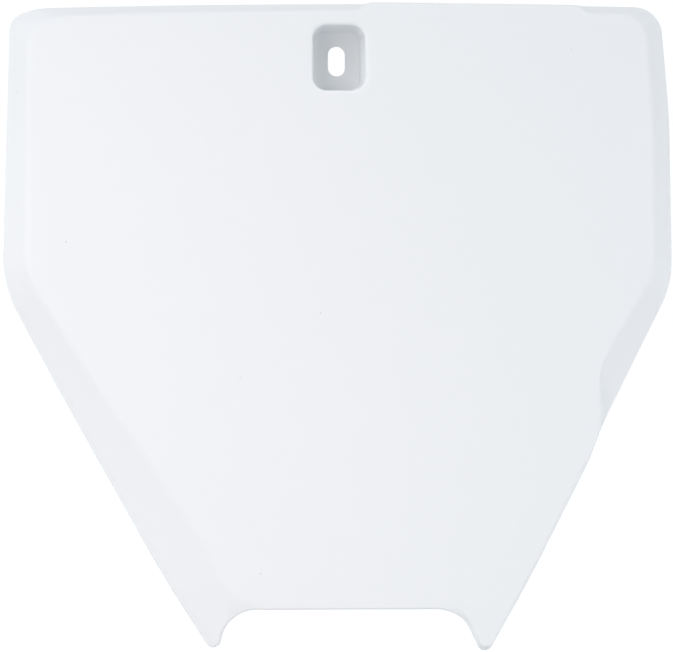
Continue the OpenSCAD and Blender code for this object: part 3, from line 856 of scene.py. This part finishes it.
def painted_floor():
    """Matt white paint, which scatters light evenly and has no sheen."""
    material = bpy.data.materials.new("painted_studio_floor_white")
    material.use_nodes = True
    tree = material.node_tree
    tree.nodes.clear()
    matt = add(tree, "ShaderNodeBsdfDiffuse", {"Color": linear(FLOOR_PAINT)})
    lit = add(tree, "ShaderNodeEmission", {"Strength": 1.0})
    share = add(tree, "ShaderNodeMath", {"operation": "MULTIPLY", 1: FLOOR_GLOW}, {0: seen_directly(tree)})
    both = add(tree, "ShaderNodeMixShader", None,
               {0: share.outputs[0], 1: matt.outputs[0], 2: lit.outputs[0]})
    add(tree, "ShaderNodeOutputMaterial", None, {"Surface": both.outputs[0]})
    return material


signs = ((-1, -1), (1, -1), (1, 1), (-1, 1))
floor_corners = [(x * FLOOR_HALF, y * FLOOR_HALF, -FLOOR_DROP) for x, y in signs]
floor = mesh_object("studio_floor", floor_corners, [(0, 1, 2, 3)])
floor.data.materials.append(painted_floor())
print("the floor lies below the slot by, mm:", FLOOR_DROP)

# %% [markdown]
# ## The light
#
# A white object on white shows its form only where the light is uneven. The world is therefore lit like a
# tent of white cloth with the camera in its opening: dark straight in front, so that the deep pocket stays
# darker than the face, bright in a ring round that, and dimmer at the sides and from above, so that the
# bevels stand out. It leans a little to the left, which lets the crown turn slowly darker to the right, and
# far down, which keeps the top bevel darker than the lower ones.
#
# Two warm softboxes with grids are aimed at the left side, one of them from across, and a small cool one
# far round on the right reaches the steep end of the right bevel.

# %% World
# Strengths of the world by its angle from straight in front, and those angles in degrees
MIDDLE, RING, OUTSIDE = 0.0, 2.92, 0.91
DARK_CONE, RING_START, RING_END, OUTSIDE_START = 32, 48, 60, 90
# The light grows by these shares towards +X, +Y and +Z.
LEAN_OF_LIGHT = (-0.12, 0.0, -0.66)
# What the camera sees is a shade above 1, because the tint of the light would leave its red short of white.
SEEN_LEVEL = 1.06
WORLD_TINT = "#FAFCFF"


def cosine_of(degrees):
    return math.cos(math.radians(degrees))


world = bpy.data.worlds.new("white_studio")
scene.world = world
world.use_nodes = True
tree = world.node_tree
tree.nodes.clear()
ray = add(tree, "ShaderNodeTexCoord").outputs["Generated"]
to_front = add(tree, "ShaderNodeVectorMath", {"operation": "DOT_PRODUCT", 1: (0, -1, 0)}, {0: ray})
to_lean = add(tree, "ShaderNodeVectorMath", {"operation": "DOT_PRODUCT", 1: LEAN_OF_LIGHT}, {0: ray})
middle = add(tree, "ShaderNodeMapRange",
             {"interpolation_type": "SMOOTHSTEP", "From Min": cosine_of(RING_START),
              "From Max": cosine_of(DARK_CONE), "To Min": 1.0, "To Max": MIDDLE / RING},
             {"Value": to_front.outputs["Value"]})
outside = add(tree, "ShaderNodeMapRange",
              {"interpolation_type": "SMOOTHSTEP", "From Min": cosine_of(OUTSIDE_START),
               "From Max": cosine_of(RING_END), "To Min": OUTSIDE, "To Max": RING},
              {"Value": to_front.outputs["Value"]})
tent = add(tree, "ShaderNodeMath", {"operation": "MULTIPLY"}, {0: middle.outputs[0], 1: outside.outputs[0]})
leaning = add(tree, "ShaderNodeMath", {"operation": "ADD", 1: 1.0}, {0: to_lean.outputs["Value"]})
light = add(tree, "ShaderNodeMath", {"operation": "MULTIPLY"}, {0: tent.outputs[0], 1: leaning.outputs[0]})
seen = add(tree, "ShaderNodeMath", {"operation": "MULTIPLY", 1: SEEN_LEVEL}, {0: seen_directly(tree)})
strength = add(tree, "ShaderNodeMath", {"operation": "MAXIMUM"}, {0: light.outputs[0], 1: seen.outputs[0]})
background = add(tree, "ShaderNodeBackground", {"Color": linear(WORLD_TINT)},
                 {"Strength": strength.outputs[0]})
add(tree, "ShaderNodeOutputWorld", None, {"Surface": background.outputs[0]})
print("light from the middle, the ring and the outside:", MIDDLE, RING, OUTSIDE)

# %% Softboxes
LEFT_AIM, RIGHT_AIM = Vector((-0.11, 0, -0.13)), Vector((0.09, 0, -0.17))
BOX_DISTANCE = 1.2
WARM, COOL = "#FFEAE2", "#F4F8FF"


def softbox(name, azimuth, elevation, size, power, colour, aim, spread):
    """Azimuth goes from the front to the right, as the camera sees it. The spread is that of the grid."""
    a, e = math.radians(azimuth), math.radians(elevation)
    away = Vector((math.sin(a) * math.cos(e), -math.cos(a) * math.cos(e), math.sin(e)))
    data = bpy.data.lights.new(name, "AREA")
    data.shape, data.size, data.size_y = "RECTANGLE", size, size
    data.energy = power
    data.color = linear(colour)[:3]
    data.spread = math.radians(spread)
    lamp = bpy.data.objects.new(name, data)
    scene.collection.objects.link(lamp)
    lamp.location = aim + away * BOX_DISTANCE
    lamp.rotation_mode = "QUATERNION"
    lamp.rotation_quaternion = away.to_track_quat("Z", "Y")


softbox("softbox_left", azimuth=-28, elevation=6, size=0.5, power=0.17,
        colour=WARM, aim=LEFT_AIM, spread=32)
softbox("softbox_across", azimuth=36, elevation=6, size=0.5, power=0.06,
        colour=WARM, aim=LEFT_AIM, spread=40)
softbox("softbox_right", azimuth=80, elevation=-3, size=0.16, power=0.048,
        colour=COOL, aim=RIGHT_AIM, spread=30)

# %% [markdown]
# ## The camera
#
# A product photographer stands well back with a long lens, so that the sides of the board keep their shape.
# The camera is a little to the left and below, which shows more of the pocket's right wall and of the left
# bevel. It is aimed by turning its own Z axis, which points backwards, away from what it looks at.

# %% Camera
CAMERA_AT = Vector((-0.1351, -2.2106, -0.2112))
LOOK_AT = Vector((-0.000936, -0.0175, -0.099854))
LENS_MM, SENSOR_MM = 317.6, 36.0
camera_data = bpy.data.cameras.new("product_camera")
camera_data.lens = LENS_MM
camera_data.sensor_width = SENSOR_MM
camera_data.clip_end = 100
camera = bpy.data.objects.new("product_camera", camera_data)
scene.collection.objects.link(camera)
camera.location = CAMERA_AT
camera.rotation_mode = "QUATERNION"
camera.rotation_quaternion = (CAMERA_AT - LOOK_AT).to_track_quat("Z", "Y")
scene.camera = camera
print("distance to the board, m:", round((CAMERA_AT - LOOK_AT).length, 3))
